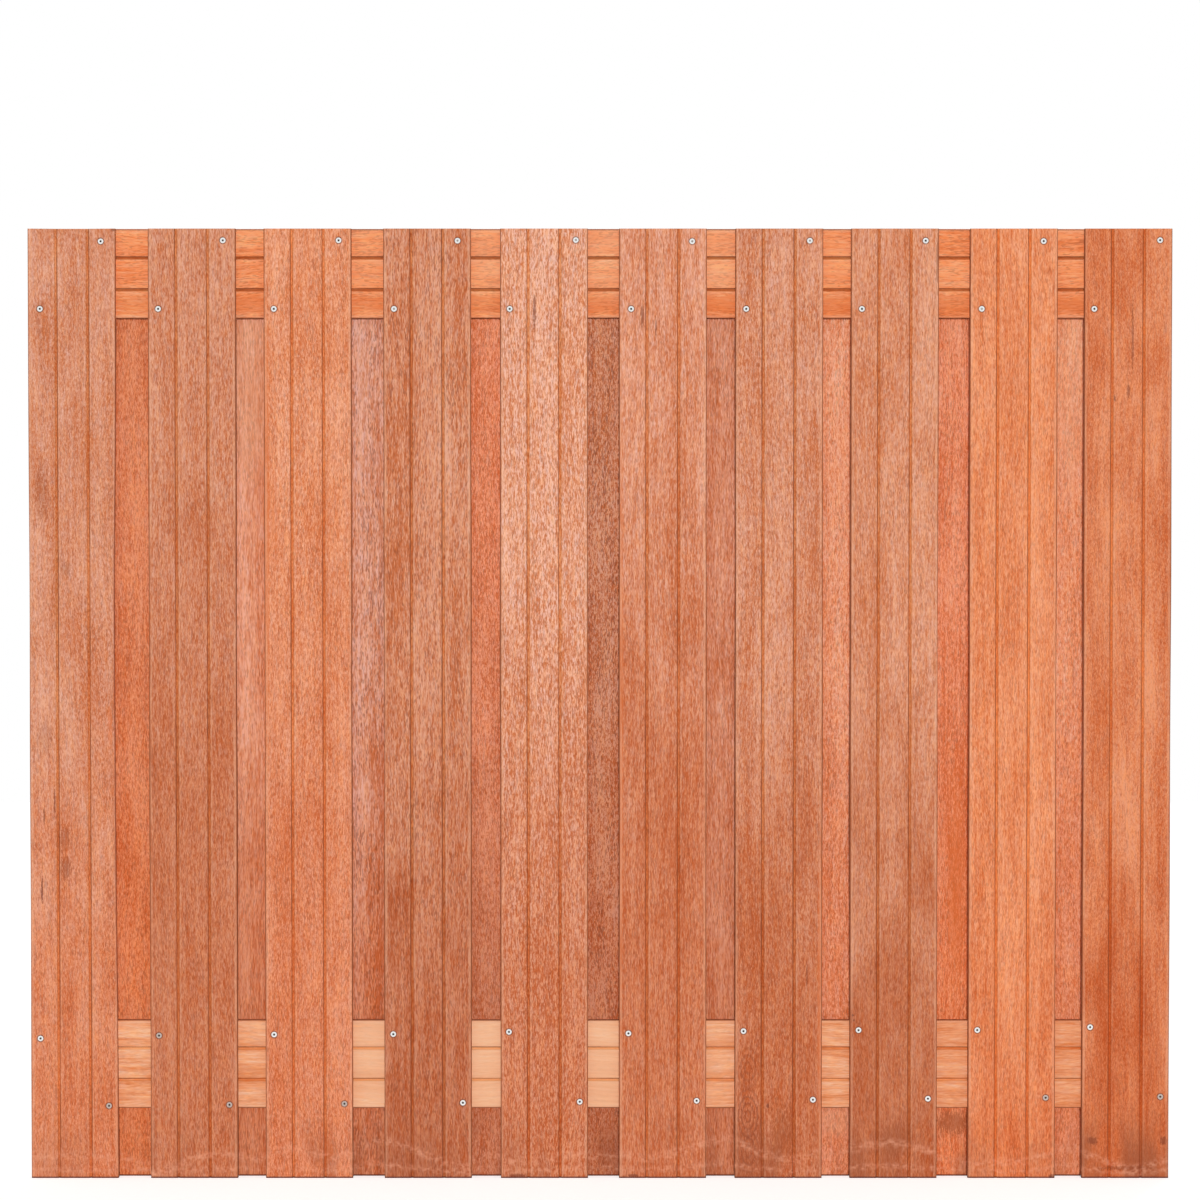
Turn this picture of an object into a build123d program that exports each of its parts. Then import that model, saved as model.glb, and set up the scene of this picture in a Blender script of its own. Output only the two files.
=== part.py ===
from build123d import *
import os
from math import cos, pi, sin

# Garden screen panel, hit and miss
# Ten grooved boards stand along the front with narrow gaps between them. Nine more stand behind the
# gaps, turned round so that their grooved faces look to the back. Both rows are screwed to two level
# rails that lie between them, so air passes through and sight does not.
# X runs along the panel, the front looks to -Y and Z is up, in millimetres. The origin is at the foot
# of the boards, midway along the length and midway through the thickness.

# Panel
PANEL_LENGTH = 1800.0
PANEL_HEIGHT = 1500.0

# Gaps between the front boards, from left to right, as the boards were laid out by eye
FRONT_GAPS = (51.0, 44.0, 50.0, 46.0, 49.0, 45.0, 44.0, 49.0, 42.0)

# Planed board section, with a rounded edge each side of its show face
BOARD_THICKNESS = 15.0
RAIL_WIDTH = 140.0
SHOW_EDGE_RADIUS = 2.5
REAR_EDGE_CHAMFER = 0.8

# V-grooves of the show face, two a board
GROOVE_OFFSET = 25.0
GROOVE_MOUTH = 5.5
GROOVE_FLOOR = 0.7
GROOVE_DEPTH = 2.6

# Rails: the top one stays just under the board tops, the bottom one stands clear of the ground
TOP_RAIL_DROP = 1.0
BOTTOM_RAIL_CLEARANCE = 110.0

# Countersunk screw, fully threaded, with the thread drawn as its plain outside cylinder
SCREW_LENGTH = 25.0
SCREW_DIAMETER = 4.5
SCREW_TIP = 5.0
HEAD_DIAMETER = 8.8
HEAD_LAND = 0.35
HEAD_SINK = 0.3
CLEARANCE_HOLE = 4.8

# Six-pointed drive recess in the head
RECESS_POINTS = 6
RECESS_OUTER = 3.9
RECESS_INNER = 2.8
RECESS_DEPTH = 1.9
RECESS_TURN = 23.0

# Screw places on a front board: in from the board's side edges, and height of each
# The top right screw sits above the top rail's middle and the top left one below it. At the bottom
# rail the left one is the high one, and the row of screws climbs a little from board to board.
TOP_INSET_LEFT = 17.0
TOP_INSET_RIGHT = 21.0
BOTTOM_INSET = 14.0
TOP_HIGH = 1481.0
TOP_LOW = 1374.0
BOTTOM_HIGH = 224.0
BOTTOM_LOW = 115.0
BOTTOM_CLIMB = 1.6
HAND_WANDER = (2.0, -1.0, -1.0, 0.0, -2.0, 2.0, 0.0, 0.0, 1.5, -1.5)

# Worked out from the sizes above
FRONT_COUNT = len(FRONT_GAPS) + 1
BOARD_WIDTH = (PANEL_LENGTH - sum(FRONT_GAPS)) / FRONT_COUNT
BOARD_MIDDLE = BOARD_THICKNESS
FACE = 1.5 * BOARD_THICKNESS
TOP_RAIL_BOTTOM = PANEL_HEIGHT - TOP_RAIL_DROP - RAIL_WIDTH


def front_centres():
    """Give the middle of each front board along X, from left to right."""
    centres = [-PANEL_LENGTH / 2 + BOARD_WIDTH / 2]
    for gap in FRONT_GAPS:
        centres.append(centres[-1] + BOARD_WIDTH + gap)
    return centres


def back_centres():
    """Give the middle of each gap between front boards, where a back board stands."""
    fronts = front_centres()
    return [(left + right) / 2 for left, right in zip(fronts, fronts[1:])]


def board_section(width):
    """Draw a board seen from its end, with its show face at -Y."""
    section = Rectangle(width, BOARD_THICKNESS)
    section = fillet(section.vertices().group_by(Axis.Y)[0], SHOW_EDGE_RADIUS)
    section = chamfer(section.vertices().group_by(Axis.Y)[-1], REAR_EDGE_CHAMFER)
    groove = make_face(
        Polyline(
            (-GROOVE_MOUTH / 2, 0),
            (-GROOVE_FLOOR / 2, GROOVE_DEPTH),
            (GROOVE_FLOOR / 2, GROOVE_DEPTH),
            (GROOVE_MOUTH / 2, 0),
            close=True,
        )
    )
    for side in (-1, 1):
        section -= Pos(side * GROOVE_OFFSET, -BOARD_THICKNESS / 2) * groove
    return section


def turned(*corners):
    """Turn an outline of (radius, depth) corners about the Z axis."""
    outline = make_face(Polyline(*corners, close=True))
    return revolve(Plane.XZ * outline, axis=Axis.Z)


def screw_blank():
    """Turn one screw, head first at the board's face, with its point down the Z axis."""
    head = HEAD_DIAMETER / 2
    shank = SCREW_DIAMETER / 2
    cone_start = HEAD_SINK + HEAD_LAND
    return turned(
        (0, HEAD_SINK),
        (head, HEAD_SINK),
        (head, cone_start),
        (shank, cone_start + head - shank),
        (shank, SCREW_LENGTH - SCREW_TIP),
        (0, SCREW_LENGTH),
    )


def drive_recess():
    """Cut the six-pointed socket that the driver bit turns."""
    star = []
    for corner in range(2 * RECESS_POINTS):
        radius = RECESS_INNER / 2 if corner % 2 else RECESS_OUTER / 2
        angle = corner * pi / RECESS_POINTS
        star.append((radius * cos(angle), radius * sin(angle)))
    socket = extrude(make_face(Polyline(*star, close=True)), RECESS_DEPTH)
    return Pos(0, 0, HEAD_SINK) * socket


def screw_hole():
    """Turn the countersink and clearance hole that one screw needs in a board."""
    head = HEAD_DIAMETER / 2
    hole = CLEARANCE_HOLE / 2
    cone_start = HEAD_SINK + HEAD_LAND
    return turned(
        (0, 0),
        (head, 0),
        (head, cone_start),
        (hole, cone_start + head - hole),
        (hole, BOARD_THICKNESS),
        (0, BOARD_THICKNESS),
    )


def front_screw_places(number, centre):
    """Give the (x, z) of a front board's four screws."""
    left = centre - BOARD_WIDTH / 2
    right = centre + BOARD_WIDTH / 2
    wander = HAND_WANDER[number]
    climb = BOTTOM_CLIMB * number
    return (
        (left + TOP_INSET_LEFT + wander, TOP_LOW),
        (right - TOP_INSET_RIGHT - wander, TOP_HIGH - wander / 2),
        (left + BOTTOM_INSET + wander / 2, BOTTOM_HIGH + climb - wander),
        (right - BOTTOM_INSET - wander / 2, BOTTOM_LOW + climb),
    )


def back_screw_places(number, centre):
    """Give the (x, z) of a back board's four screws.

    They keep the front's diagonal as seen from the front, so no back screw comes in where a front
    screw of the neighbouring board already has its point.
    """
    inset = BOARD_WIDTH / 2 - TOP_INSET_RIGHT
    wander = HAND_WANDER[-number]
    return (
        (centre - inset + wander, TOP_LOW),
        (centre + inset + wander, TOP_HIGH - wander),
        (centre - inset - wander, BOTTOM_HIGH + wander),
        (centre + inset - wander, BOTTOM_LOW + BOTTOM_CLIMB * number),
    )


def face_at(facing, x, z):
    """Place a screw or hole on the face that looks to -Y (facing -1) or +Y (facing 1), going in."""
    return Plane(origin=(x, facing * FACE, z), x_dir=(-facing, 0, 0), z_dir=(0, -facing, 0))


def write(node, solid):
    """Name a piece and write it as its own file."""
    solid.label = node
    export_step(solid, f"parts/{node}.step")
    print(f"{node}: {solid.volume / 1000:.1f} cubic centimetres")


def make_rail(bottom, screws):
    """Make one level rail, grooves to the front, with the blind hole that each screw bites."""
    rail = Rot(0, 90, 0) * extrude(board_section(RAIL_WIDTH), PANEL_LENGTH)
    rail = Pos(-PANEL_LENGTH / 2, 0, bottom + RAIL_WIDTH / 2) * rail
    for screw in screws:
        rail -= screw
    return rail


def make_row(side, facing, centres, places):
    """Make one row of uprights with their screws, and give all its screws."""
    half_turn = 180 if facing == 1 else 0
    row_screws = []
    for number, centre in enumerate(centres):
        board = Pos(centre, facing * BOARD_MIDDLE, 0) * Rot(0, 0, half_turn) * upright
        screws = []
        for corner, (x, z) in enumerate(places(number, centre)):
            board -= face_at(facing, x, z) * hole
            turn = RECESS_TURN * (4 * number + corner)
            screws.append(face_at(facing, x, z) * (blank - Rot(0, 0, turn) * recess))
        write(f"{side}_board_{number + 1:02d}", board)
        write(f"{side}_screws_{number + 1:02d}", Compound(screws))
        row_screws += screws
    return row_screws


os.makedirs("parts", exist_ok=True)

upright = extrude(board_section(BOARD_WIDTH), PANEL_HEIGHT)
blank = screw_blank()
recess = drive_recess()
hole = screw_hole()

front_screws = make_row("front", -1, front_centres(), front_screw_places)
back_screws = make_row("back", 1, back_centres(), back_screw_places)
all_screws = front_screws + back_screws

high_screws = [screw for screw in all_screws if screw.center().Z > PANEL_HEIGHT / 2]
low_screws = [screw for screw in all_screws if screw.center().Z < PANEL_HEIGHT / 2]
write("top_rail", make_rail(TOP_RAIL_BOTTOM, high_screws))
write("bottom_rail", make_rail(BOTTOM_RAIL_CLEARANCE, low_screws))
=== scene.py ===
# %% [markdown]
# # A hit-and-miss garden screen in planed hardwood
# This lesson builds the looks of a garden screen panel. Ten grooved boards stand along the front, nine more
# cover their gaps from behind, and both rows are screwed to two level rails that lie between them. The exact
# sizes come from a measured model of the panel, which is loaded first and stays where it is. Every piece
# made here takes its place from a piece of that model.

# %% Load the measured model
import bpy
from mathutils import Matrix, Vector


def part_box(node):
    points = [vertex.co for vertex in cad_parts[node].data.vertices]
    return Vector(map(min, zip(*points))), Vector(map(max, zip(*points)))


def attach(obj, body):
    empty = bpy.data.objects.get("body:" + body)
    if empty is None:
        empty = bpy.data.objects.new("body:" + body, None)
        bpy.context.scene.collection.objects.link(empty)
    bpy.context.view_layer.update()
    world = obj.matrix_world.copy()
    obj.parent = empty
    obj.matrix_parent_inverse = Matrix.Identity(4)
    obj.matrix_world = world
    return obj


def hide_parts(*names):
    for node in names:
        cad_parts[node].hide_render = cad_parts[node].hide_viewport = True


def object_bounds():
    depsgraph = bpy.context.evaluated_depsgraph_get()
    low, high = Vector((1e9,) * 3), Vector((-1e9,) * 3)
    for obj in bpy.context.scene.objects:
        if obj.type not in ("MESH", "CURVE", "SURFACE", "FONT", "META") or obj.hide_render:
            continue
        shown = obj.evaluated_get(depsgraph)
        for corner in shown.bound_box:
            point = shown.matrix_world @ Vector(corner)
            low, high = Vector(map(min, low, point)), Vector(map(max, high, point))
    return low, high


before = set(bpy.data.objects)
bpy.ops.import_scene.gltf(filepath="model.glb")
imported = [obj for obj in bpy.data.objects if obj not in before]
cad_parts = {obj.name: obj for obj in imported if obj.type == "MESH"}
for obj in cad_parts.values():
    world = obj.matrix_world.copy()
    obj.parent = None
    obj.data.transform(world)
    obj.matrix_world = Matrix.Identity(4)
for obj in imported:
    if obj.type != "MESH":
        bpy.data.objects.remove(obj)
measured_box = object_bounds()
print("measured pieces:", len(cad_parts))

# %% [markdown]
# ## What the lesson works with
# bpy holds the scene, bmesh shapes the meshes, and the rest is plain arithmetic. The measured panel fills a
# box that is its real size, in metres: X runs along the panel, the front looks to -Y and Z is up.

# %% Tools and sizes
import math

import bmesh
import bpy
from mathutils import Matrix, Vector

scene = bpy.context.scene
panel_length = measured_box[1].x - measured_box[0].x
panel_height = measured_box[1].z
show_face = measured_box[1].y
board_thickness = 2 * show_face / 3
GROOVE_OFFSET = 0.025
GROOVE_MOUTH = 0.0055
GROOVE_FLOOR = 0.0007
GROOVE_DEPTH = 0.0026
front_names = sorted(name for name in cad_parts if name.startswith("front_board"))
back_names = sorted(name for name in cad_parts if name.startswith("back_board"))
print(f"panel {panel_length:.3f} x {panel_height:.3f} m, boards {1000 * board_thickness:.1f} mm thick")

# %% [markdown]
# ## The camera
# The panel is seen almost straight on, from about ten metres away and a little above its middle. A long lens
# keeps the boards nearly parallel, and the small tilt narrows the foot by the few millimetres that the eye
# expects. A lens shift centres the panel without tilting the camera any further.

# %% Camera
CAMERA_DISTANCE = 10.0
CAMERA_TILT = math.radians(2.9)
rise = CAMERA_DISTANCE * math.tan(CAMERA_TILT)
camera_data = bpy.data.cameras.new("camera")
camera_data.sensor_width = 36
camera_data.lens = 190.4
camera_data.shift_y = 0.0876
camera_data.clip_start = 0.1
camera_data.clip_end = 60
camera = bpy.data.objects.new("camera", camera_data)
camera.location = (0, -show_face - CAMERA_DISTANCE, panel_height / 2 + rise)
camera.rotation_euler = (math.pi / 2 - CAMERA_TILT, 0, 0)
scene.collection.objects.link(camera)
scene.camera = camera
print("camera at", [round(v, 3) for v in camera.location])

# %% [markdown]
# ## Node helpers
# Materials here are networks of nodes. Three small helpers keep them readable: one adds a node and feeds its
# inputs, one does a sum, and one fades smoothly between two values.

# %% Node helpers
def add(tree, kind, inputs=(), **settings):
    """Add one node, set its options and feed its inputs with sockets or plain values."""
    node = tree.nodes.new("ShaderNode" + kind)
    for name, value in settings.items():
        setattr(node, name, value)
    for key, value in dict(inputs).items():
        if isinstance(value, bpy.types.NodeSocket):
            tree.links.new(value, node.inputs[key])
        else:
            node.inputs[key].default_value = value
    return node


def calc(tree, operation, *values, clamp=False):
    """Do one sum on numbers."""
    node = add(tree, "Math", enumerate(values), operation=operation, use_clamp=clamp)
    return node.outputs[0]


def fade(tree, value, start, end, first=0.0, last=1.0, pace="SMOOTHSTEP"):
    """Go from first to last while a value goes from start to end."""
    inputs = {0: value, 1: start, 2: end, 3: first, 4: last}
    return add(tree, "MapRange", inputs, interpolation_type=pace).outputs[0]


def blend(tree, factor, under, over, how="MIX"):
    """Lay one colour over another."""
    inputs = {0: factor, 6: under, 7: over}
    node = add(tree, "Mix", inputs, data_type="RGBA", blend_type=how)
    return node.outputs[2]


def new_material(name):
    """Start an empty material with a Principled shader, and give its tree, its shader and itself."""
    material = bpy.data.materials.new(name)
    material.use_nodes = True
    tree = material.node_tree
    tree.nodes.clear()
    shader = add(tree, "BsdfPrincipled")
    output = add(tree, "OutputMaterial")
    tree.links.new(shader.outputs[0], output.inputs[0])
    return material, tree, shader


def srgb(red, green, blue):
    """Turn a colour as a screen shows it, 0 to 255, into the linear colour that shaders use."""
    def linear(value):
        value /= 255
        return value / 12.92 if value <= 0.04045 else ((value + 0.055) / 1.055) ** 2.4
    return (linear(red), linear(green), linear(blue), 1.0)


# %% [markdown]
# ## Floor, backdrop and light
# A plain white studio shows timber best. The floor and the world look white to the camera, and to polished
# steel, while the light that reaches the wood stays at a level at which a colour renders as it is written.
# One broad sun from behind the camera, a little to the right and above, lights every board alike and leaves
# a fine shadow down the left side of each front board. A weaker one does the same for the back, and the world
# fills the rest softly. Polished steel would mirror the suns as hard white spots, so it doesn't see them.

# %% Floor, backdrop and light
def seen_as_white(tree):
    """Give 1 where the camera, a mirror or glass looks, and 0 where light only bounces."""
    path = add(tree, "LightPath")
    seen = calc(tree, "MAXIMUM", path.outputs["Is Camera Ray"], path.outputs["Is Glossy Ray"])
    return calc(tree, "MAXIMUM", seen, path.outputs["Is Transmission Ray"])


scene.view_settings.view_transform = "Standard"
FILL = 0.42
FRONT_SUN = 1.75
REAR_SUN = 1.1
world = bpy.data.worlds.new("studio")
world.use_nodes = True
scene.world = world
sky = world.node_tree
sky.nodes.clear()
soft = add(sky, "Background", {"Color": (1, 1, 1, 1), "Strength": FILL})
white = add(sky, "Background", {"Color": (1, 1, 1, 1), "Strength": 1.0})
choice = add(sky, "MixShader", {0: seen_as_white(sky), 1: soft.outputs[0], 2: white.outputs[0]})
add(sky, "OutputWorld", {"Surface": choice.outputs[0]})


def add_sun(name, strength, towards):
    """Hang a broad sun that shines along a direction."""
    sun_data = bpy.data.lights.new(name, "SUN")
    sun_data.energy = strength
    sun_data.angle = math.radians(3.5)
    sun = bpy.data.objects.new(name, sun_data)
    sun.rotation_euler = Vector(towards).to_track_quat("-Z", "Y").to_euler()
    sun.visible_glossy = False
    scene.collection.objects.link(sun)


add_sun("front_sun", FRONT_SUN, (-0.03, 1, -0.12))
add_sun("rear_sun", REAR_SUN, (-0.30, -1, -0.10))

floor_shape = bmesh.new()
bmesh.ops.create_grid(floor_shape, x_segments=2, y_segments=2, size=9)
floor_mesh = bpy.data.meshes.new("floor")
floor_shape.to_mesh(floor_mesh)
floor_shape.free()
floor = bpy.data.objects.new("floor", floor_mesh)
scene.collection.objects.link(floor)
floor_paint, tree, shader = new_material("floor_paint")
shader.inputs["Base Color"].default_value = (0.70, 0.70, 0.70, 1)
shader.inputs["Roughness"].default_value = 0.9
shader.inputs["Emission Color"].default_value = (1, 1, 1, 1)
glow = calc(tree, "MULTIPLY", seen_as_white(tree), 0.68)
tree.links.new(glow, shader.inputs["Emission Strength"])
floor_mesh.materials.append(floor_paint)

# %% [markdown]
# ## Wood: one space for every board
# A board's figure runs along its length. So the wood is worked out in the board's own space, with X across
# the grain, Y through the board and Z along the grain. A Mapping node moves the board's middle to zero, and
# for a level rail it also turns the space on its side. A second one leans and shifts the grain, so no two
# boards were cut from the same place in the log.

# %% The board's own space
def board_space(tree, across, level):
    """Centre the pattern on a board, and lay it on its side for a level rail."""
    place = add(tree, "TexCoord").outputs["Object"]
    turn = (0, -math.pi / 2, 0) if level else (0, 0, 0)
    shift = (across, 0, 0) if level else (-across, 0, 0)
    inputs = {"Vector": place, "Location": shift, "Rotation": turn}
    return add(tree, "Mapping", inputs).outputs[0]


def grain_space(tree, home, seed, lean, wave):
    """Move to this board's own piece of the log, and let the grain lean and wander."""
    inputs = {"Vector": home, "Location": (1.7 * seed, 0.9 * seed, 4.3 * seed), "Rotation": (0, lean, 0)}
    log = add(tree, "Mapping", inputs).outputs[0]
    drift = noise(tree, log, (0.09, 0.09, 0.30), 0)
    push = add(tree, "CombineXYZ", {0: calc(tree, "MULTIPLY", drift, wave)}).outputs[0]
    return add(tree, "VectorMath", {0: log, 1: push}, operation="ADD").outputs[0]


def noise(tree, place, size, detail=1, rough=0.5):
    """Make soft noise whose spots have this size in metres: across, through and along."""
    scale = tuple(1 / s for s in size)
    spot = add(tree, "Mapping", {"Vector": place, "Scale": scale}).outputs[0]
    inputs = {"Vector": spot, "Scale": 1.0, "Detail": detail, "Roughness": rough}
    return add(tree, "TexNoise", inputs).outputs["Fac"]


# %% [markdown]
# ## Wood: streaks, bands and pores
# Up close this hardwood is a warm ground with long soft streaks, broader bands where the log grew faster or
# slower, cloudy patches, and a great many short pores that planing has opened. Each is one noise, drawn out
# along the grain to its real size. They add up to a single number, and a colour ramp turns that number into
# dark, middling and light wood.

# %% Streaks, bands and pores
def figure(tree, grain, look):
    """Make the board's streaks, clouds and dashes, and add them up to one number around a half."""
    bands = noise(tree, grain, (0.030, 0.03, 0.90), 0)
    streaks = noise(tree, grain, (0.0045, 0.01, 0.10), 1, 0.65)
    clouds = noise(tree, grain, (0.050, 0.05, 0.16), 1, 0.6)
    dashes = noise(tree, grain, (look.get("fine", 0.0013), 0.003, look.get("dash", 0.0052)), 1, 0.75)
    streak, cloud, fleck = (look.get(key, 1.0) for key in ("streak", "cloud", "fleck"))
    total = 0.5
    for part, weight in (
        (bands, 0.55 * streak), (streaks, 0.85 * streak), (clouds, 0.80 * cloud), (dashes, 2.6 * fleck),
    ):
        centred = calc(tree, "SUBTRACT", part, 0.5)
        total = calc(tree, "MULTIPLY_ADD", centred, weight, total)
    return total, streaks, clouds, dashes


def pores(tree, grain, amount):
    """Open short dark pores, thicker on the ground in some streaks than in others."""
    dash = noise(tree, grain, (0.0015, 0.003, 0.007), 0)
    crowd = noise(tree, grain, (0.012, 0.02, 0.10), 0)
    level = calc(tree, "MULTIPLY_ADD", crowd, 0.35, dash)
    return fade(tree, level, 0.74, 0.92, 0.0, amount)


def wood_colour(tree, grain, value, tone, light, dark):
    """Turn the figure's number into dark, middling and light wood, here more orange and there more pink."""
    darker = blend(tree, fade(tree, value, 0.5, -0.1, pace="LINEAR"), tone, dark)
    colour = blend(tree, fade(tree, value, 0.5, 1.1, pace="LINEAR"), darker, light)
    hue = noise(tree, grain, (0.0045, 0.008, 0.022), 1, 0.6)
    hue = fade(tree, hue, 0.25, 0.75, pace="LINEAR")
    tint = blend(tree, hue, (1.05, 0.97, 0.80, 1), (0.97, 1.02, 1.13, 1))
    return blend(tree, 1.0, colour, tint, "MULTIPLY")


# %% [markdown]
# ## Wood: the tone of each board
# Screens like this are nailed up from whatever boards lie next in the pile, so each one has its own tone, and
# here most are darker and redder towards the foot. A small palette of named wood tones is enough. Every board
# blends from the tone of its upper part to the tone of its foot.

# %% Palette of wood tones
TONES = {
    "blush": srgb(229, 160, 128),
    "rose": srgb(219, 147, 115),
    "peach": srgb(230, 150, 111),
    "salmon": srgb(214, 140, 106),
    "orange": srgb(233, 146, 103),
    "brick": srgb(221, 134, 95),
    "dusk": srgb(212, 146, 118),
    "umber": srgb(202, 132, 99),
    "sienna": srgb(209, 127, 90),
    "cedar": srgb(201, 119, 82),
    "ember": srgb(222, 127, 82),
    "bark": srgb(192, 112, 77),
    "rust": srgb(203, 107, 64),
    "honey": srgb(234, 146, 98),
    "straw": srgb(238, 168, 126),
}


def shade(tone, red, green, blue):
    """Darken or lighten a tone by a factor for each of its channels."""
    return tuple(min(1.0, value * factor) for value, factor in zip(tone, (red, green, blue, 1)))


def board_tone(tree, height, pull, look):
    """Blend from the foot's tone to the upper tone, along an uneven line, in three depths of colour."""
    lift, warm = look.get("lift", 1.0), look.get("warm", 0.0)
    own = (lift, lift * (1 - 0.35 * warm), lift * (1 - warm))
    upper, foot = shade(TONES[look["upper"]], *own), shade(TONES[look["foot"]], *own)
    level = calc(tree, "MULTIPLY_ADD", pull, 0.5, height)
    climb = look.get("climb", 0.0)
    low = fade(tree, level, 1.20 + climb, 0.37 + climb)
    depths = ((1, 1, 1), (1.19, 1.50, 1.78), (0.81, 0.54, 0.33))
    return [blend(tree, low, shade(upper, *depth), shade(foot, *depth)) for depth in depths]


print("wood tones:", ", ".join(TONES))

# %% [markdown]
# ## Wood: edges, grooves and the foot
# Some of these marks are painted light and shade. A pale line just inside each rounded edge is a painted
# highlight, and the sides are painted a deeper orange brown as their shade. The grooves are deepened to
# orange brown as painted shade, one wall of each groove carries a darker line of painted shade, and its far
# lip a faint painted highlight. The foot darkens in soft damp patches and goes darker still in its last few
# millimetres, and soft pale tide lines cross the last few centimetres above the ground.

# %% Edges, grooves and the foot
def edge_marks(tree, colour, parts, half, depth, streaks, look):
    """Paint a pale highlight inside the long edges, and painted shade, deep orange brown, on the sides and in
    the grooves.
    """
    out = calc(tree, "ABSOLUTE", parts[0])
    uneven = fade(tree, streaks, 0.30, 0.60, 0.35, 1.0)
    # Painted highlight: a pale line just inside each rounded long edge, uneven along the grain.
    edge_highlight = fade(tree, out, half - 0.0060, half - 0.0038, 0.0, 0.30)
    colour = blend(tree, calc(tree, "MULTIPLY", edge_highlight, uneven), colour, srgb(243, 186, 152))
    # Painted shade: the sides and the outer rounding turn deep orange brown.
    side = fade(tree, out, half - 0.0024, half - 0.0004, 0.0, 0.85)
    colour = blend(tree, side, colour, srgb(*look.get("side", (160, 88, 50))))

    offset = calc(tree, "ADD", parts[0], GROOVE_OFFSET)
    offset = calc(tree, "WRAP", offset, GROOVE_OFFSET, -GROOVE_OFFSET)
    show = calc(tree, "MULTIPLY", fade(tree, out, 0.036, 0.034), fade(tree, depth, 0.006, 0.004))
    dark_line = look.get("dark_line", -1)
    marks = (
        # The first mark deepens the groove to orange brown: painted shade of the recess.
        (0.0, 0.0030, 0.0018, 1.0, look.get("groove", (0.97, 0.84, 0.56, 1)), "MULTIPLY"),
        # Painted shade: a darker line down one wall of the groove.
        (0.0021 * dark_line, 0.0014, 0.0004, look.get("line", 0.65), srgb(128, 64, 40), "MIX"),
        # Painted highlight: a faint pale line along the groove's far lip.
        (0.0042, 0.0014, 0.0003, 0.14, srgb(248, 200, 166), "MIX"),
    )
    for middle, reach, core, strength, tone, how in marks:
        away = calc(tree, "ABSOLUTE", calc(tree, "SUBTRACT", offset, middle))
        mark = calc(tree, "MULTIPLY", fade(tree, away, reach, core, 0.0, strength), show)
        if how == "MIX":
            mark = calc(tree, "MULTIPLY", mark, uneven)
        colour = blend(tree, mark, colour, tone, how)
    return colour


def foot_marks(tree, colour, place, height, clouds, damp):
    """Darken the foot in soft patches, and draw broken tide lines and a dark line along its last few
    millimetres.
    """
    wet = calc(tree, "MULTIPLY", fade(tree, clouds, 0.42, 0.62), fade(tree, height, 0.13, 0.02, 0.0, damp))
    colour = blend(tree, wet, colour, srgb(150, 78, 50))
    bend = noise(tree, place, (0.13, 0.13, 0.5), 0)
    torn = noise(tree, place, (0.008, 0.03, 0.006), 1, 0.8)
    for level, swing, breadth, strength in ((0.036, 0.090, 0.012, 0.50), (0.014, 0.026, 0.008, 0.45)):
        line = calc(tree, "MULTIPLY_ADD", bend, swing, level - swing / 2)
        off = calc(tree, "ABSOLUTE", calc(tree, "SUBTRACT", height, line))
        broken = fade(tree, torn, 0.32, 0.80, 0.0, strength)
        tide = calc(tree, "MULTIPLY", fade(tree, off, breadth, 0.0), broken)
        colour = blend(tree, tide, colour, srgb(246, 176, 142))
    rim = fade(tree, height, 0.0034, 0.0014, 0.0, 0.85)
    return blend(tree, rim, colour, srgb(82, 38, 36))


# %% [markdown]
# ## Wood: the whole material
# The steps above now make one material for one board. The short fibres also set the bump, so that raking
# light finds them, and the pores set the roughness, because they shine less than planed wood. A ring of
# painted shade is drawn round each screw's place, where the head sits in its hole.

# %% Wood material
def away_from(tree, place, x, z, wide, tall):
    """Measure how far out a point lies, where 1 is on an oval of this half width and half height."""
    inputs = {0: place, 1: (1 / wide, 0, 1 / tall), 2: (-x / wide, 0, -z / tall)}
    away = add(tree, "VectorMath", inputs, operation="MULTIPLY_ADD").outputs[0]
    return add(tree, "VectorMath", {0: away}, operation="LENGTH").outputs["Value"]


def shade_round_screws(tree, colour, place, screws):
    """Paint shade on the wood just round each screw head, where it sits in its hole."""
    for x, z in screws:
        away = away_from(tree, place, x, z, 0.0044, 0.0044)
        # Painted shade: a dark ring round the head, where it sits in its hole.
        colour = blend(tree, fade(tree, away, 1.55, 1.05, 0.0, 0.75), colour, srgb(96, 52, 36))
    return colour


def stain(tree, colour, place, torn, mark):
    """Lay one soft-edged patch of colour on the wood, uneven with the grain."""
    x, z, wide, tall, tone, strength = mark
    away = calc(tree, "MULTIPLY_ADD", torn, 1.2, away_from(tree, place, x, z, wide, tall))
    return blend(tree, fade(tree, away, 1.75, 1.1, 0.0, strength), colour, STAINS[tone])


def arches(tree, colour, place, torn, x, z, wide, tall, rings, strength):
    """Draw the nested arches that show where the saw crossed the log's yearly rings."""
    away = away_from(tree, place, x, z, wide, tall)
    turn = calc(tree, "MULTIPLY_ADD", away, 2 * math.pi * rings, calc(tree, "MULTIPLY", torn, 6.0))
    ring = fade(tree, calc(tree, "SINE", turn), -0.2, 1.0, 0.0, strength)
    ring = calc(tree, "MULTIPLY", ring, fade(tree, away, 1.1, 0.8))
    return blend(tree, ring, colour, srgb(138, 70, 48))


STAINS = {
    "orange": srgb(226, 118, 62),
    "dark": srgb(120, 58, 40),
    "brown": srgb(160, 88, 56),
    "pale": srgb(250, 200, 160),
}


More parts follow.
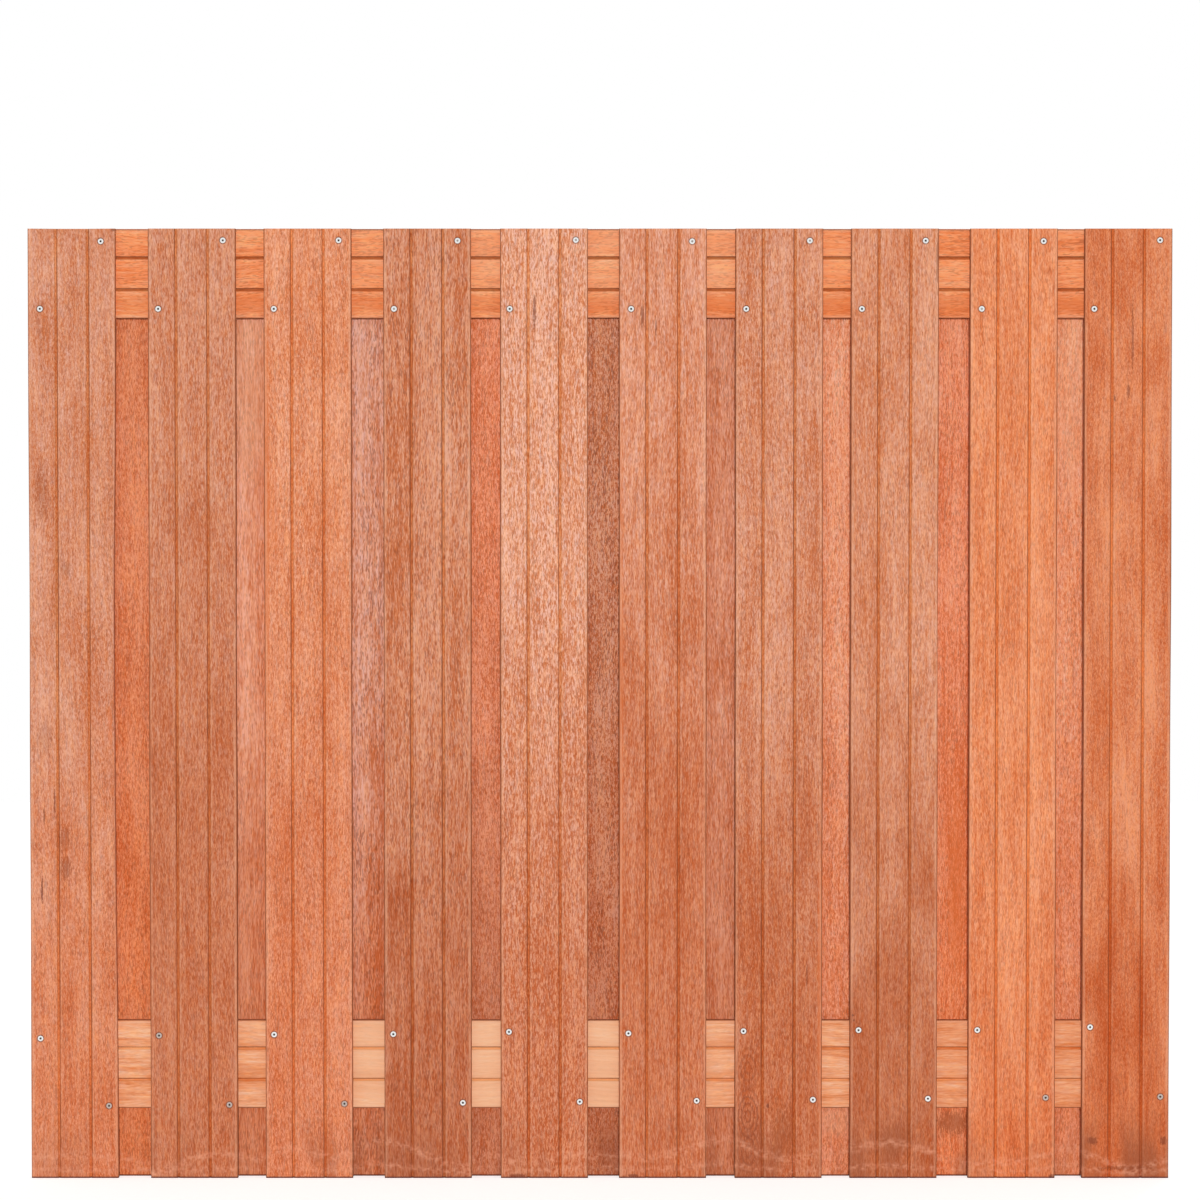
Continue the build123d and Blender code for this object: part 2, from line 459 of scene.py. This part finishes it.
def hardwood(name, across, facing, face, half, look, screws=(), level=False):
    """Make the wood of one board from its place, the way it faces and its look."""
    material, tree, shader = new_material(name)
    home = board_space(tree, across, level)
    parts = add(tree, "SeparateXYZ", {0: home}).outputs
    place = add(tree, "TexCoord").outputs["Object"]
    height = add(tree, "SeparateXYZ", {0: place}).outputs[2]
    depth = calc(tree, "MULTIPLY_ADD", parts[1], -facing, face)
    grain = grain_space(tree, home, look["seed"], look.get("lean", 0.0), look.get("wave", 0.02))

    value, streaks, clouds, dashes = figure(tree, grain, look)
    tones = board_tone(tree, height, clouds, look)
    colour = wood_colour(tree, grain, value, *tones)
    open_pores = pores(tree, grain, look.get("pores", 0.3))
    colour = blend(tree, open_pores, colour, srgb(138, 70, 46))
    for mark in look.get("stains", ()):
        colour = stain(tree, colour, place, dashes, mark)
    for group in look.get("arches", ()):
        colour = arches(tree, colour, place, dashes, *group)
    colour = edge_marks(tree, colour, parts, half, depth, streaks, look)
    if not level:
        colour = foot_marks(tree, colour, place, height, clouds, look.get("damp", 0.5))
    colour = shade_round_screws(tree, colour, place, screws)
    tree.links.new(colour, shader.inputs["Base Color"])

    rough = calc(tree, "MULTIPLY_ADD", open_pores, 0.10, 0.64)
    tree.links.new(rough, shader.inputs["Roughness"])
    inputs = {"Strength": 0.45, "Distance": 0.0006, "Height": dashes}
    tree.links.new(add(tree, "Bump", inputs).outputs[0], shader.inputs["Normal"])
    shader.inputs["Specular IOR Level"].default_value = 0.25
    return material


# %% [markdown]
# ## Where the screws go
# Each board is held by four screws. Their places are read from the measured screws. Every quarter of the
# board, upper or lower and left or right, holds exactly one, and the middle of its box lies on its axis.

# %% Screw places
def screw_places(screws_node, middle):
    """Give the (x, z) of the four screws of one board, from the measured screws."""
    points = [v.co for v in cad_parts[screws_node].data.vertices]
    places = []
    for top in (True, False):
        for left in (True, False):
            mine = [p for p in points if (p.z > panel_height / 2) == top and (p.x < middle) == left]
            xs, zs = [p.x for p in mine], [p.z for p in mine]
            places.append(((min(xs) + max(xs)) / 2, (min(zs) + max(zs)) / 2))
    return places


places_of = {}
for name in front_names + back_names:
    low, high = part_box(name)
    places_of[name] = screw_places(name.replace("board", "screws"), (low.x + high.x) / 2)
print("screws:", sum(len(p) for p in places_of.values()))

# %% [markdown]
# ## The board's blank
# A board starts as a cube that is scaled to the sawn blank. Planes then cut it lengthwise where the grooves
# will be, and the floor of each groove is pushed in. This is the order of the real work too: plane the
# blank, plough the grooves, ease the edges.

# %% Blank and grooves
def cut(shape, point, normal, faces=None):
    """Cut the shape, or only some of its faces, along a plane, without parting it."""
    if faces is None:
        geometry = shape.verts[:] + shape.edges[:] + shape.faces[:]
    else:
        edges = {edge for face in faces for edge in face.edges}
        corners = {corner for face in faces for corner in face.verts}
        geometry = list(corners) + list(edges) + list(faces)
    bmesh.ops.bisect_plane(shape, geom=geometry, plane_co=point, plane_no=normal, dist=1e-6)


def board_blank(width, length):
    """Scale a cube to the blank, and plough the two V-grooves into its show face."""
    shape = bmesh.new()
    bmesh.ops.create_cube(shape, size=1)
    bmesh.ops.scale(shape, vec=(width, board_thickness, length), verts=shape.verts)
    bmesh.ops.translate(shape, vec=(0, 0, length / 2), verts=shape.verts)
    for middle in (-GROOVE_OFFSET, GROOVE_OFFSET):
        for half in (GROOVE_MOUTH / 2, GROOVE_FLOOR / 2):
            cut(shape, (middle - half, 0, 0), (1, 0, 0))
            cut(shape, (middle + half, 0, 0), (1, 0, 0))
        floor_verts = [
            v for v in shape.verts
            if v.co.y < 0 and abs(v.co.x - middle) < GROOVE_FLOOR / 2 + 1e-5
        ]
        bmesh.ops.translate(shape, vec=(0, GROOVE_DEPTH, 0), verts=floor_verts)
    return shape


# %% [markdown]
# ## Eased edges
# The long edges of the show face have a rounding of about 2.5 mm, and the rear edges only lose their
# sharpness. Bevel does both, with several segments where the light has to roll round. The groove mouths and
# the sawn ends get a very small bevel, so that they catch a line of light instead of looking razor sharp.

# %% Ease the edges
SHOW_EDGE = 0.0025
REAR_EDGE = 0.0008
GROOVE_EDGE = 0.0005
SAWN_EDGE = 0.0004


def ease(shape, edges, size, segments):
    """Round some edges."""
    bmesh.ops.bevel(
        shape, geom=edges, offset=size, offset_type="OFFSET", segments=segments,
        profile=0.5, affect="EDGES", material=-1, clamp_overlap=True,
    )


def long_edges(shape, wanted):
    """Find the edges that run along the board and whose (x, y) is wanted."""
    found = []
    for edge in shape.edges:
        a, b = (v.co for v in edge.verts)
        if abs(a.z - b.z) > 1e-4 and abs(a.x - b.x) < 1e-6 and wanted(a.x, a.y):
            found.append(edge)
    return found


def ease_board(shape, width):
    """Round the show edges, blunt the rear edges and soften the groove mouths."""
    half, face = width / 2 - 1e-5, board_thickness / 2 - 1e-5
    ease(shape, long_edges(shape, lambda x, y: abs(x) > half and y < -face), SHOW_EDGE, 4)
    ease(shape, long_edges(shape, lambda x, y: abs(x) > half and y > face), REAR_EDGE, 2)
    mouths = [side * GROOVE_OFFSET + end * GROOVE_MOUTH / 2 for side in (-1, 1) for end in (-1, 1)]
    at_mouth = long_edges(shape, lambda x, y: y < -face and min(abs(x - m) for m in mouths) < 1e-5)
    ease(shape, at_mouth, GROOVE_EDGE, 2)


# %% [markdown]
# ## Screw holes
# A screw hole is cut from both faces. A small square is marked out on each face by local cuts and taken out,
# its edges are divided, and extruding them inwards to a circle leaves a round hole. On the show face the
# circle is then drawn in and down again, which gives the countersink and the shaft. There it meets the
# circle of the rear face, and Merge by Distance joins the two.

# %% Screw holes
HOLE_SIDES = 24
MARKED_SQUARE = 0.0058
REAR_SQUARE = 0.0034
LIP_RADIUS = 0.0048
SEAT_RADIUS = 0.0044
SHAFT_RADIUS = 0.0024
LIP_DEPTH = 0.0002
SEAT_DEPTH = 0.0007
CONE_DEPTH = 0.0027


def open_circle(shape, x, z, y, reach, radius):
    """Swap a small square of a flat face for a round opening, and give the opening's edges."""
    for point, normal in (
        ((0, 0, z - reach), (0, 0, 1)), ((0, 0, z + reach), (0, 0, 1)),
        ((x - reach, 0, 0), (1, 0, 0)), ((x + reach, 0, 0), (1, 0, 0)),
    ):
        near = [
            f for f in shape.faces
            if all(abs(v.co.y - y) < 1e-5 for v in f.verts)
            and min(v.co.x for v in f.verts) < x < max(v.co.x for v in f.verts)
            and min(v.co.z for v in f.verts) < z < max(v.co.z for v in f.verts)
        ]
        cut(shape, point, normal, near)
    square = min(shape.faces, key=lambda f: (f.calc_center_bounds() - Vector((x, y, z))).length)
    sides = list(square.edges)
    bmesh.ops.delete(shape, geom=[square], context="FACES_ONLY")
    bmesh.ops.subdivide_edges(shape, edges=sides, cuts=HOLE_SIDES // 4 - 1)
    rim = [e for e in shape.edges if e.is_boundary and all(abs(v.co.y - y) < 1e-5 for v in e.verts)]
    return draw_in(shape, rim, x, z, radius, 0)


def draw_in(shape, rim, x, z, radius, sink):
    """Extend an opening inwards to a circle, and give its new rim."""
    pulled = bmesh.ops.extrude_edge_only(shape, edges=rim)["geom"]
    for corner in (g for g in pulled if isinstance(g, bmesh.types.BMVert)):
        turn = math.atan2(corner.co.z - z, corner.co.x - x)
        corner.co.x, corner.co.z = x + radius * math.cos(turn), z + radius * math.sin(turn)
        corner.co.y += sink
    return [g for g in pulled if isinstance(g, bmesh.types.BMEdge)]


def screw_hole(shape, x, z):
    """Cut one countersunk hole through a board."""
    face = board_thickness / 2
    throat = open_circle(shape, x, z, -face, MARKED_SQUARE, LIP_RADIUS)
    throat = draw_in(shape, throat, x, z, SEAT_RADIUS + 0.0001, LIP_DEPTH)
    throat = draw_in(shape, throat, x, z, SEAT_RADIUS, SEAT_DEPTH - LIP_DEPTH)
    throat = draw_in(shape, throat, x, z, SHAFT_RADIUS, CONE_DEPTH - SEAT_DEPTH)
    throat = draw_in(shape, throat, x, z, SHAFT_RADIUS, board_thickness - CONE_DEPTH)
    rear = open_circle(shape, x, z, face, REAR_SQUARE, SHAFT_RADIUS)
    ends = list({v for e in throat + rear for v in e.verts})
    bmesh.ops.remove_doubles(shape, verts=ends, dist=1e-5)


# %% [markdown]
# ## A little life in the wood
# Sawn timber is never dead straight. Planes cut the board into stations every few centimetres, and the
# stations are then moved by a fraction of a millimetre: a slight sweep from end to end and a wandering width.
# One end board also has a hollow edge and a top that dips a little in its middle. The foot of every board
# still stands on the ground, and nothing leaves the space of the measured panel.

# %% Stations, sweep and ends
STATION = 0.06
HOLE_MARGIN = 0.008


def add_stations(shape, length, keep_clear):
    """Cut the board across every six centimetres, but not through a screw hole."""
    count = round(length / STATION)
    for step in range(1, count):
        level = length * step / count
        if all(abs(level - z) > HOLE_MARGIN for z in keep_clear):
            cut(shape, (0, 0, level), (0, 0, 1))


def ease_ends(shape, length):
    """Take the sharpness off the sawn ends."""
    rims = []
    for edge in shape.edges:
        if len(edge.link_faces) == 2 and all(min(v.co.z, length - v.co.z) < 1e-5 for v in edge.verts):
            if abs(abs(edge.link_faces[0].normal.z) - abs(edge.link_faces[1].normal.z)) > 0.5:
                rims.append(edge)
    ease(shape, rims, SAWN_EDGE, 1)


SWEEP = 0.0005
SWELL = 0.0004


def weather(shape, width, length, seed, waist=0.0, top_dip=0.0):
    """Move the stations a little: sweep, uneven width, a hollow edge and a dip in the top."""
    for v in shape.verts:
        t = v.co.z / length
        bell = math.sin(math.pi * t) ** 2
        sweep = SWEEP * math.sin(2.1 * seed) * math.sin(math.pi * t)
        swell = SWELL * math.sin(5 * t * math.pi + seed) * (2 * v.co.x / width)
        hollow = waist * bell * max(0.0, 2 * v.co.x / width) ** 2
        across = v.co.x / width
        v.co.x += bell * (sweep + swell) - hollow
        v.co.z -= t ** 8 * top_dip * (0.5 - abs(across))


# %% [markdown]
# ## From shape to piece
# A finished shape becomes an object. Its place is in its mesh, so the object itself stays at the origin. The
# side faces are shaded smooth and the real corners are marked sharp, so that the rounded edges roll and the
# flats stay flat.

# %% From shape to piece
SHARP_ANGLE = math.radians(32)


def to_piece(shape, name, materials, stands_for):
    """Turn a shape into a named piece that stands for a measured node."""
    bmesh.ops.recalc_face_normals(shape, faces=shape.faces)
    for face in shape.faces:
        face.smooth = True
    for edge in shape.edges:
        edge.smooth = len(edge.link_faces) == 2 and edge.calc_face_angle(0) < SHARP_ANGLE
    mesh = bpy.data.meshes.new(name)
    shape.to_mesh(mesh)
    shape.free()
    for material in materials:
        mesh.materials.append(material)
    piece = bpy.data.objects.new(name, mesh)
    scene.collection.objects.link(piece)
    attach(piece, "root")
    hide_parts(stands_for)
    return piece


def make_board(name, facing, look):
    """Make one upright with its grooves, eased edges and screw holes, and its own wood."""
    low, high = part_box(name)
    width, length, middle = high.x - low.x, high.z - low.z, (low.x + high.x) / 2
    shape = board_blank(width, length)
    ease_board(shape, width)
    holes = [(-facing * (x - middle), z) for x, z in places_of[name]]
    for x, z in holes:
        screw_hole(shape, x, z)
    add_stations(shape, length, [z for _, z in holes])
    ease_ends(shape, length)
    weather(shape, width, length, look["seed"], look.get("waist", 0.0), look.get("top_dip", 0.0))
    half_turn = Matrix.Rotation(0 if facing == -1 else math.pi, 4, "Z")
    home = Matrix.Translation((middle, (low.y + high.y) / 2, low.z)) @ half_turn
    bmesh.ops.transform(shape, matrix=home, verts=shape.verts)
    wood = hardwood(f"wood_of_{name}", middle, facing, show_face, width / 2, look, places_of[name])
    return to_piece(shape, f"{name}_planed", [wood], name)


# %% [markdown]
# ## The front row
# Here are the ten front boards and how each one looks: the tones of its upper part and foot, how streaky or
# cloudy it is, how open its pores are, and how damp its foot.

# %% The front row
FRONT_LOOKS = (
    dict(upper="rose", foot="brick", seed=1, lift=1.02, warm=0.01, cloud=1.4, dash=0.0045, damp=0.25,
         waist=0.005, lean=0.02, side=(178, 100, 60), dark_line=1, top_dip=0.0014,
         stains=((-0.773, 0.716, 0.004, 0.036, "orange", 0.5), (-0.764, 1.498, 0.004, 0.003, "dark", 0.8),
                 (-0.8435, 0.492, 0.011, 0.022, "dark", 0.35), (-0.845, 0.54, 0.012, 0.020, "dark", 0.22),
                 (-0.880, 1.08, 0.012, 0.050, "dark", 0.22), (-0.8775, 0.575, 0.0018, 0.016, "dark", 0.6),
                 (-0.861, 0.597, 0.0016, 0.026, "dark", 0.6), (-0.8815, 0.455, 0.0018, 0.022, "dark", 0.8),
                 (-0.876, 0.70, 0.014, 0.030, "dark", 0.20), (-0.842, 0.965, 0.011, 0.014, "dark", 0.25))),
    dict(upper="salmon", foot="cedar", seed=2, climb=0.3, lift=1.03, warm=-0.04, cloud=0.7, fleck=1.2,
         dash=0.007, damp=0.3),
    dict(upper="peach", foot="brick", seed=3, climb=0.25, lift=1.04, warm=-0.02, streak=0.8, fleck=1.1,
         damp=0.4,
         stains=((-0.525, 1.06, 0.005, 0.40, "orange", 0.6), (-0.515, 1.05, 0.014, 0.11, "orange", 0.25),
                 (-0.431, 0.04, 0.010, 0.020, "orange", 0.6))),
    dict(upper="salmon", foot="bark", seed=4, lift=1.03, streak=1.5, fleck=1.3, dash=0.009, pores=0.45,
         damp=0.3, line=0.80),
    dict(upper="blush", foot="sienna", seed=5, climb=0.1, lift=1.04, warm=-0.02, streak=1.3, cloud=0.6,
         fleck=1.8, fine=0.0013, dash=0.0065, damp=0.3,
         stains=((-0.103, 1.371, 0.003, 0.030, "dark", 0.6), (-0.13, 0.004, 0.016, 0.003, "dark", 0.7))),
    dict(upper="rose", foot="cedar", seed=6, climb=0.3, lift=1.10, warm=-0.03, streak=1.2, cloud=0.7,
         fleck=1.15, dash=0.008, damp=0.2,
         stains=((0.0665, 1.363, 0.003, 0.022, "dark", 0.6), (0.088, 1.345, 0.0018, 0.018, "dark", 0.6),
                 (0.052, 0.004, 0.010, 0.003, "dark", 0.7),
                 (0.033, 0.75, 0.004, 0.60, "orange", 0.5))),
    dict(upper="rose", foot="cedar", seed=7, climb=0.10, lift=1.03, warm=0.03, streak=1.2, cloud=0.9,
         fleck=1.2, dash=0.006, damp=0.5, line=0.80,
         arches=((0.234, 0.175, 0.020, 0.034, 3, 0.35), (0.234, 0.098, 0.022, 0.046, 4, 0.55),
                 (0.235, 0.042, 0.018, 0.036, 3, 0.50)),
         stains=((0.2654, 0.115, 0.003, 0.004, "dark", 0.7), (0.327, 0.324, 0.002, 0.020, "dark", 0.5),
                 (0.3475, 0.30, 0.004, 0.28, "orange", 0.5), (0.290, 0.07, 0.022, 0.05, "brown", 0.35))),
    dict(upper="rose", foot="bark", seed=8, lift=1.04, warm=0.08, dash=0.007, damp=0.5,
         stains=((0.400, 0.2588, 0.0020, 0.0024, "dark", 0.9), (0.4015, 0.251, 0.0018, 0.0022, "dark", 0.8),
                 (0.47, 0.06, 0.030, 0.030, "brown", 0.4), (0.5305, 1.45, 0.0022, 0.045, "dark", 0.7))),
    dict(upper="orange", foot="ember", seed=9, climb=-0.25, lift=1.04, warm=0.05, cloud=0.8, fleck=0.9,
         dash=0.007, pores=0.25, damp=0.3, stains=((0.716, 0.003, 0.006, 0.004, "dark", 0.9),)),
    dict(upper="brick", foot="rust", seed=10, climb=-0.3, lift=1.02, warm=0.14, cloud=2.0, fleck=0.9,
         dash=0.004, pores=0.25, damp=0.7,
         stains=((0.7795, 0.0596, 0.009, 0.007, "dark", 0.65), (0.892, 0.0596, 0.006, 0.008, "dark", 0.65),
                 (0.833, 0.016, 0.045, 0.004, "dark", 0.45), (0.838, 1.33, 0.0022, 0.060, "dark", 0.5),
                 (0.832, 1.245, 0.0030, 0.014, "dark", 0.55), (0.810, 1.233, 0.0016, 0.006, "dark", 0.8))),
)
for name, look in zip(front_names, FRONT_LOOKS):
    make_board(name, -1, look)
print("front boards:", len(front_names))

# %% [markdown]
# ## The back row
# The nine back boards are the same boards turned round. From the front only a strip of each one's plain rear
# face shows, between two front boards, and from behind they are the show side.

# %% The back row
# Painted light: each back board's lift makes it lighter, to offset the shade that falls in its recess behind
# the front row.
BACK_LOOKS = (
    dict(upper="brick", foot="ember", seed=21, lift=1.03, warm=0.08, streak=0.9, cloud=1.2, fleck=1.2,
         damp=0.1),
    dict(upper="rose", foot="cedar", seed=22, lift=1.16, warm=0.02, streak=1.3, cloud=0.5, dash=0.012,
         damp=0.1, stains=((-0.551, 1.26, 0.05, 0.16, "pale", 0.18),)),
    dict(upper="dusk", foot="cedar", seed=23, lift=1.15, warm=-0.04, streak=1.6, fleck=1.3, dash=0.010,
         pores=0.5, damp=0.4),
    dict(upper="brick", foot="bark", seed=24, climb=0.15, lift=1.16, warm=-0.10, fleck=1.4, cloud=0.8,
         damp=0.6),
    dict(upper="umber", foot="bark", seed=25, climb=0.15, lift=1.10, warm=-0.03, streak=1.5, cloud=1.8,
         fleck=2.1, dash=0.0045, pores=0.6, damp=0.6),
    dict(upper="salmon", foot="cedar", seed=26, lift=1.11, warm=-0.09, streak=1.3, cloud=0.7, fleck=1.15,
         dash=0.010, damp=0.3),
    dict(upper="peach", foot="brick", seed=27, lift=1.14, warm=-0.09, streak=1.1, cloud=0.7, fleck=1.2,
         damp=0.1, stains=((0.375, 0.09, 0.03, 0.03, "pale", 0.2),)),
    dict(upper="brick", foot="ember", seed=28, lift=1.19, warm=-0.09, streak=1.4, cloud=0.9, fleck=1.1,
         damp=0.5, stains=((0.565, 0.46, 0.016, 0.20, "orange", 0.5),
                           (0.560, 0.085, 0.03, 0.022, "brown", 0.6))),
    dict(upper="peach", foot="brick", seed=29, lift=1.14, warm=-0.04, cloud=0.6, damp=0.4,
         stains=((0.742, 1.26, 0.05, 0.16, "pale", 0.15),)),
)
for name, look in zip(back_names, BACK_LOOKS):
    make_board(name, 1, look)
print("back boards:", len(back_names))

# %% [markdown]
# ## The two rails
# The rails are boards of the same section, a little wider, laid level between the two rows with the grooves
# to the front. Their grain is lively, so it waves more than that of the uprights.

# %% The rails
# A rail's groove factor sets how deep the painted shade in its grooves is.
RAIL_LOOKS = {
    "top_rail": dict(upper="honey", foot="honey", seed=41, lift=1.17, fleck=0.6, dash=0.014, wave=0.03,
                     groove=(0.60, 0.47, 0.33, 1),
                     stains=((0.0, 1.382, 2.0, 0.018, "orange", 0.45),
                             (0.0, 1.45, 0.40, 0.06, "pale", 0.20))),
    "bottom_rail": dict(upper="straw", foot="straw", seed=42, lift=1.06, streak=1.3, fleck=0.5, dash=0.016,
                        pores=0.1, wave=0.04, groove=(0.95, 0.84, 0.64, 1),
                        stains=((-0.16, 0.18, 0.34, 0.20, "pale", 0.65),
                                (0.65, 0.18, 0.20, 0.20, "orange", 0.20))),
}
for name, look in RAIL_LOOKS.items():
    low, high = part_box(name)
    width, length, middle = high.z - low.z, high.x - low.x, (low.z + high.z) / 2
    shape = board_blank(width, length)
    ease_board(shape, width)
    add_stations(shape, length, [])
    ease_ends(shape, length)
    weather(shape, width, length, look["seed"])
    laid = Matrix.Translation((low.x, 0, middle)) @ Matrix.Rotation(math.pi / 2, 4, "Y")
    bmesh.ops.transform(shape, matrix=laid, verts=shape.verts)
    wood = hardwood(f"wood_of_{name}", middle, -1, high.y, width / 2, look, level=True)
    to_piece(shape, f"{name}_planed", [wood], name)
print("rails:", len(RAIL_LOOKS))

# %% [markdown]
# ## Stainless steel
# The screw heads are bare stainless steel. Most are bright, and a few have gone dull. Turning leaves fine
# rings on a head, and steel this rough mirrors only a soft image of the studio.

# %% Stainless steel
def steel(name, colour, rough):
    """Make bare stainless steel, with fine clouds in its colour and roughness."""
    material, tree, shader = new_material(name)
    place = add(tree, "TexCoord").outputs["Object"]
    cloud = noise(tree, place, (0.0012, 0.0012, 0.0012), 2)
    tint = blend(tree, fade(tree, cloud, 0.35, 0.65), shade(colour, 0.86, 0.86, 0.86), colour)
    tree.links.new(tint, shader.inputs["Base Color"])
    tree.links.new(calc(tree, "MULTIPLY_ADD", cloud, 0.2, rough - 0.1), shader.inputs["Roughness"])
    shader.inputs["Metallic"].default_value = 1.0
    return material


bright_steel = steel("bright_stainless", (0.93, 0.93, 0.92, 1), 0.32)
dull_steel = steel("dull_stainless", (0.64, 0.54, 0.49, 1), 0.50)
# The socket's near-black steel is painted shade: the dark inside the recess.
socket_shade = steel("shaded_socket", (0.10, 0.09, 0.08, 1), 0.60)
filled_socket = steel("filled_socket", (0.62, 0.58, 0.55, 1), 0.55)

# %% [markdown]
# ## One screw
# The screw is drawn down from its head. A circle makes the flat of the head, each further extrusion is one
# stretch of the outside, and scaling it gives the land, the countersunk cone, the core and the point. The
# drive socket is an inset of the head, whose corners are pushed in and out into six lobes and then sunk.

# %% The body and socket of a screw
HEAD = 0.0044
HEAD_SINK = 0.0003
HEAD_LAND = 0.00035
CONE = 0.0028
CORE = 0.0016
POINT = 0.0052
THREAD = 0.00225
SCREW_LENGTH = 0.025
CORE_LENGTH = SCREW_LENGTH - 0.0093
SOCKET_MARGIN = 0.0022
SOCKET_RADIUS = 0.0017
LOBE = 0.00026
SOCKET_DEPTH = 0.0019


def next_ring(shape, face, radius_from, radius_to, rise):
    """Extrude one face along Z, scale it about Z, and give the new face."""
    made = bmesh.ops.extrude_discrete_faces(shape, faces=[face])["faces"][0]
    size = radius_to / radius_from
    bmesh.ops.scale(shape, vec=(size, size, 1), verts=made.verts)
    bmesh.ops.translate(shape, vec=(0, 0, rise), verts=made.verts)
    return made


def screw_body(shape):
    """Draw the outside from the head's flat to the point, then sink the six-lobed socket."""
    start = Matrix.Translation((0, 0, -HEAD_SINK))
    made = bmesh.ops.create_circle(shape, segments=24, radius=HEAD, cap_ends=True, matrix=start)
    body = made["verts"][0].link_faces[0]
    body = next_ring(shape, body, HEAD, HEAD, -HEAD_LAND)
    body = next_ring(shape, body, HEAD, CORE, -CONE)
    body = next_ring(shape, body, CORE, CORE, -CORE_LENGTH)
    next_ring(shape, body, CORE, 0.0001, -POINT)
    rim = [edge for edge in shape.edges if edge.is_boundary]
    flat = bmesh.ops.holes_fill(shape, edges=rim, sides=24)["faces"][0]
    bmesh.ops.inset_individual(shape, faces=[flat], thickness=SOCKET_MARGIN)
    for corner in flat.verts:
        turn = math.atan2(corner.co.y, corner.co.x)
        radius = SOCKET_RADIUS + LOBE * math.cos(6 * turn)
        corner.co.x, corner.co.y = radius * math.cos(turn), radius * math.sin(turn)
    before = set(shape.faces)
    floor = next_ring(shape, flat, 1, 0.92, -SOCKET_DEPTH)
    # The socket's walls and floor take the third material, the socket's painted shade.
    for face in set(shape.faces) - before | {floor}:
        face.material_index = 2


# %% [markdown]
# ## The thread
# A thread is one ridge that winds round the core. It is rolled between two dies and comes out even, so a
# small triangle that is spun round the axis while it climbs draws it exactly.

# %% The thread of a screw
def screw_thread(shape):
    """Spin a small triangle round the core while it climbs, and close both its ends."""
    pitch, turns, steps = 0.0022, 8, 96
    wedge_radius, lowest = 0.00052, -0.0225
    wedge = bmesh.ops.create_circle(shape, segments=3, radius=wedge_radius, cap_ends=False)["verts"]
    bmesh.ops.rotate(shape, matrix=Matrix.Rotation(math.pi / 2, 3, "X"), verts=wedge)
    bmesh.ops.translate(shape, vec=(THREAD - wedge_radius, 0, lowest), verts=wedge)
    edges = list({edge for corner in wedge for edge in corner.link_edges})
    bmesh.ops.spin(
        shape, geom=wedge + edges, cent=(0, 0, 0), axis=(0, 0, 1), dvec=(0, 0, pitch * turns / steps),
        angle=2 * math.pi * turns, steps=steps, use_duplicate=False, use_merge=False,
    )
    open_edges = [edge for edge in shape.edges if edge.is_boundary]
    bmesh.ops.holes_fill(shape, edges=open_edges, sides=3)


def one_screw():
    """Model one whole screw standing on Z, with its head at the top."""
    shape = bmesh.new()
    screw_thread(shape)
    screw_body(shape)
    bmesh.ops.recalc_face_normals(shape, faces=shape.faces)
    mesh = bpy.data.meshes.new("one_screw")
    shape.to_mesh(mesh)
    shape.free()
    return mesh


screw_mesh = one_screw()
print("faces of one screw:", len(screw_mesh.polygons))

# %% [markdown]
# ## All the screws
# The four screws of a board are set with the driver at any angle, so each socket is turned a little
# differently. A few heads have gone dull, mostly near the ground, where splashes reach them. In a few
# others, near the top, the sockets look light, because they are filled with pale dust from the drilling.

# %% All the screws
DULL = {("front_board_02", 2), ("front_board_02", 3), ("front_board_01", 3), ("front_board_03", 3),
        ("front_board_09", 3), ("front_board_10", 3)}
FILLED = {("front_board_04", 0), ("front_board_04", 1), ("front_board_05", 1), ("front_board_06", 1),
          ("front_board_07", 1), ("front_board_09", 0)}


def drive_screws(board_name, facing):
    """Set four screws into a board, and make them one piece that stands for the measured four."""
    shape = bmesh.new()
    for number, (x, z) in enumerate(places_of[board_name]):
        before = set(shape.verts)
        faces_before = set(shape.faces)
        shape.from_mesh(screw_mesh)
        new = [v for v in shape.verts if v not in before]
        turn = Matrix.Rotation(math.radians(23 * number + 11 * len(board_name) + 37 * x), 4, "Z")
        lay = Matrix.Rotation(-facing * math.pi / 2, 4, "X")
        home = Matrix.Translation((x, facing * show_face, z))
        bmesh.ops.transform(shape, matrix=home @ lay @ turn, verts=new)
        for face in shape.faces:
            if face not in faces_before:
                if face.material_index == 0 and (board_name, number) in DULL:
                    face.material_index = 1
                if face.material_index == 2 and (board_name, number) in FILLED:
                    face.material_index = 3
    node = board_name.replace("board", "screws")
    steels = [bright_steel, dull_steel, socket_shade, filled_socket]
    return to_piece(shape, f"{node}_driven", steels, node)


for name in front_names:
    drive_screws(name, -1)
for name in back_names:
    drive_screws(name, 1)
bpy.data.meshes.remove(screw_mesh)
print("screw pieces:", len(front_names) + len(back_names))
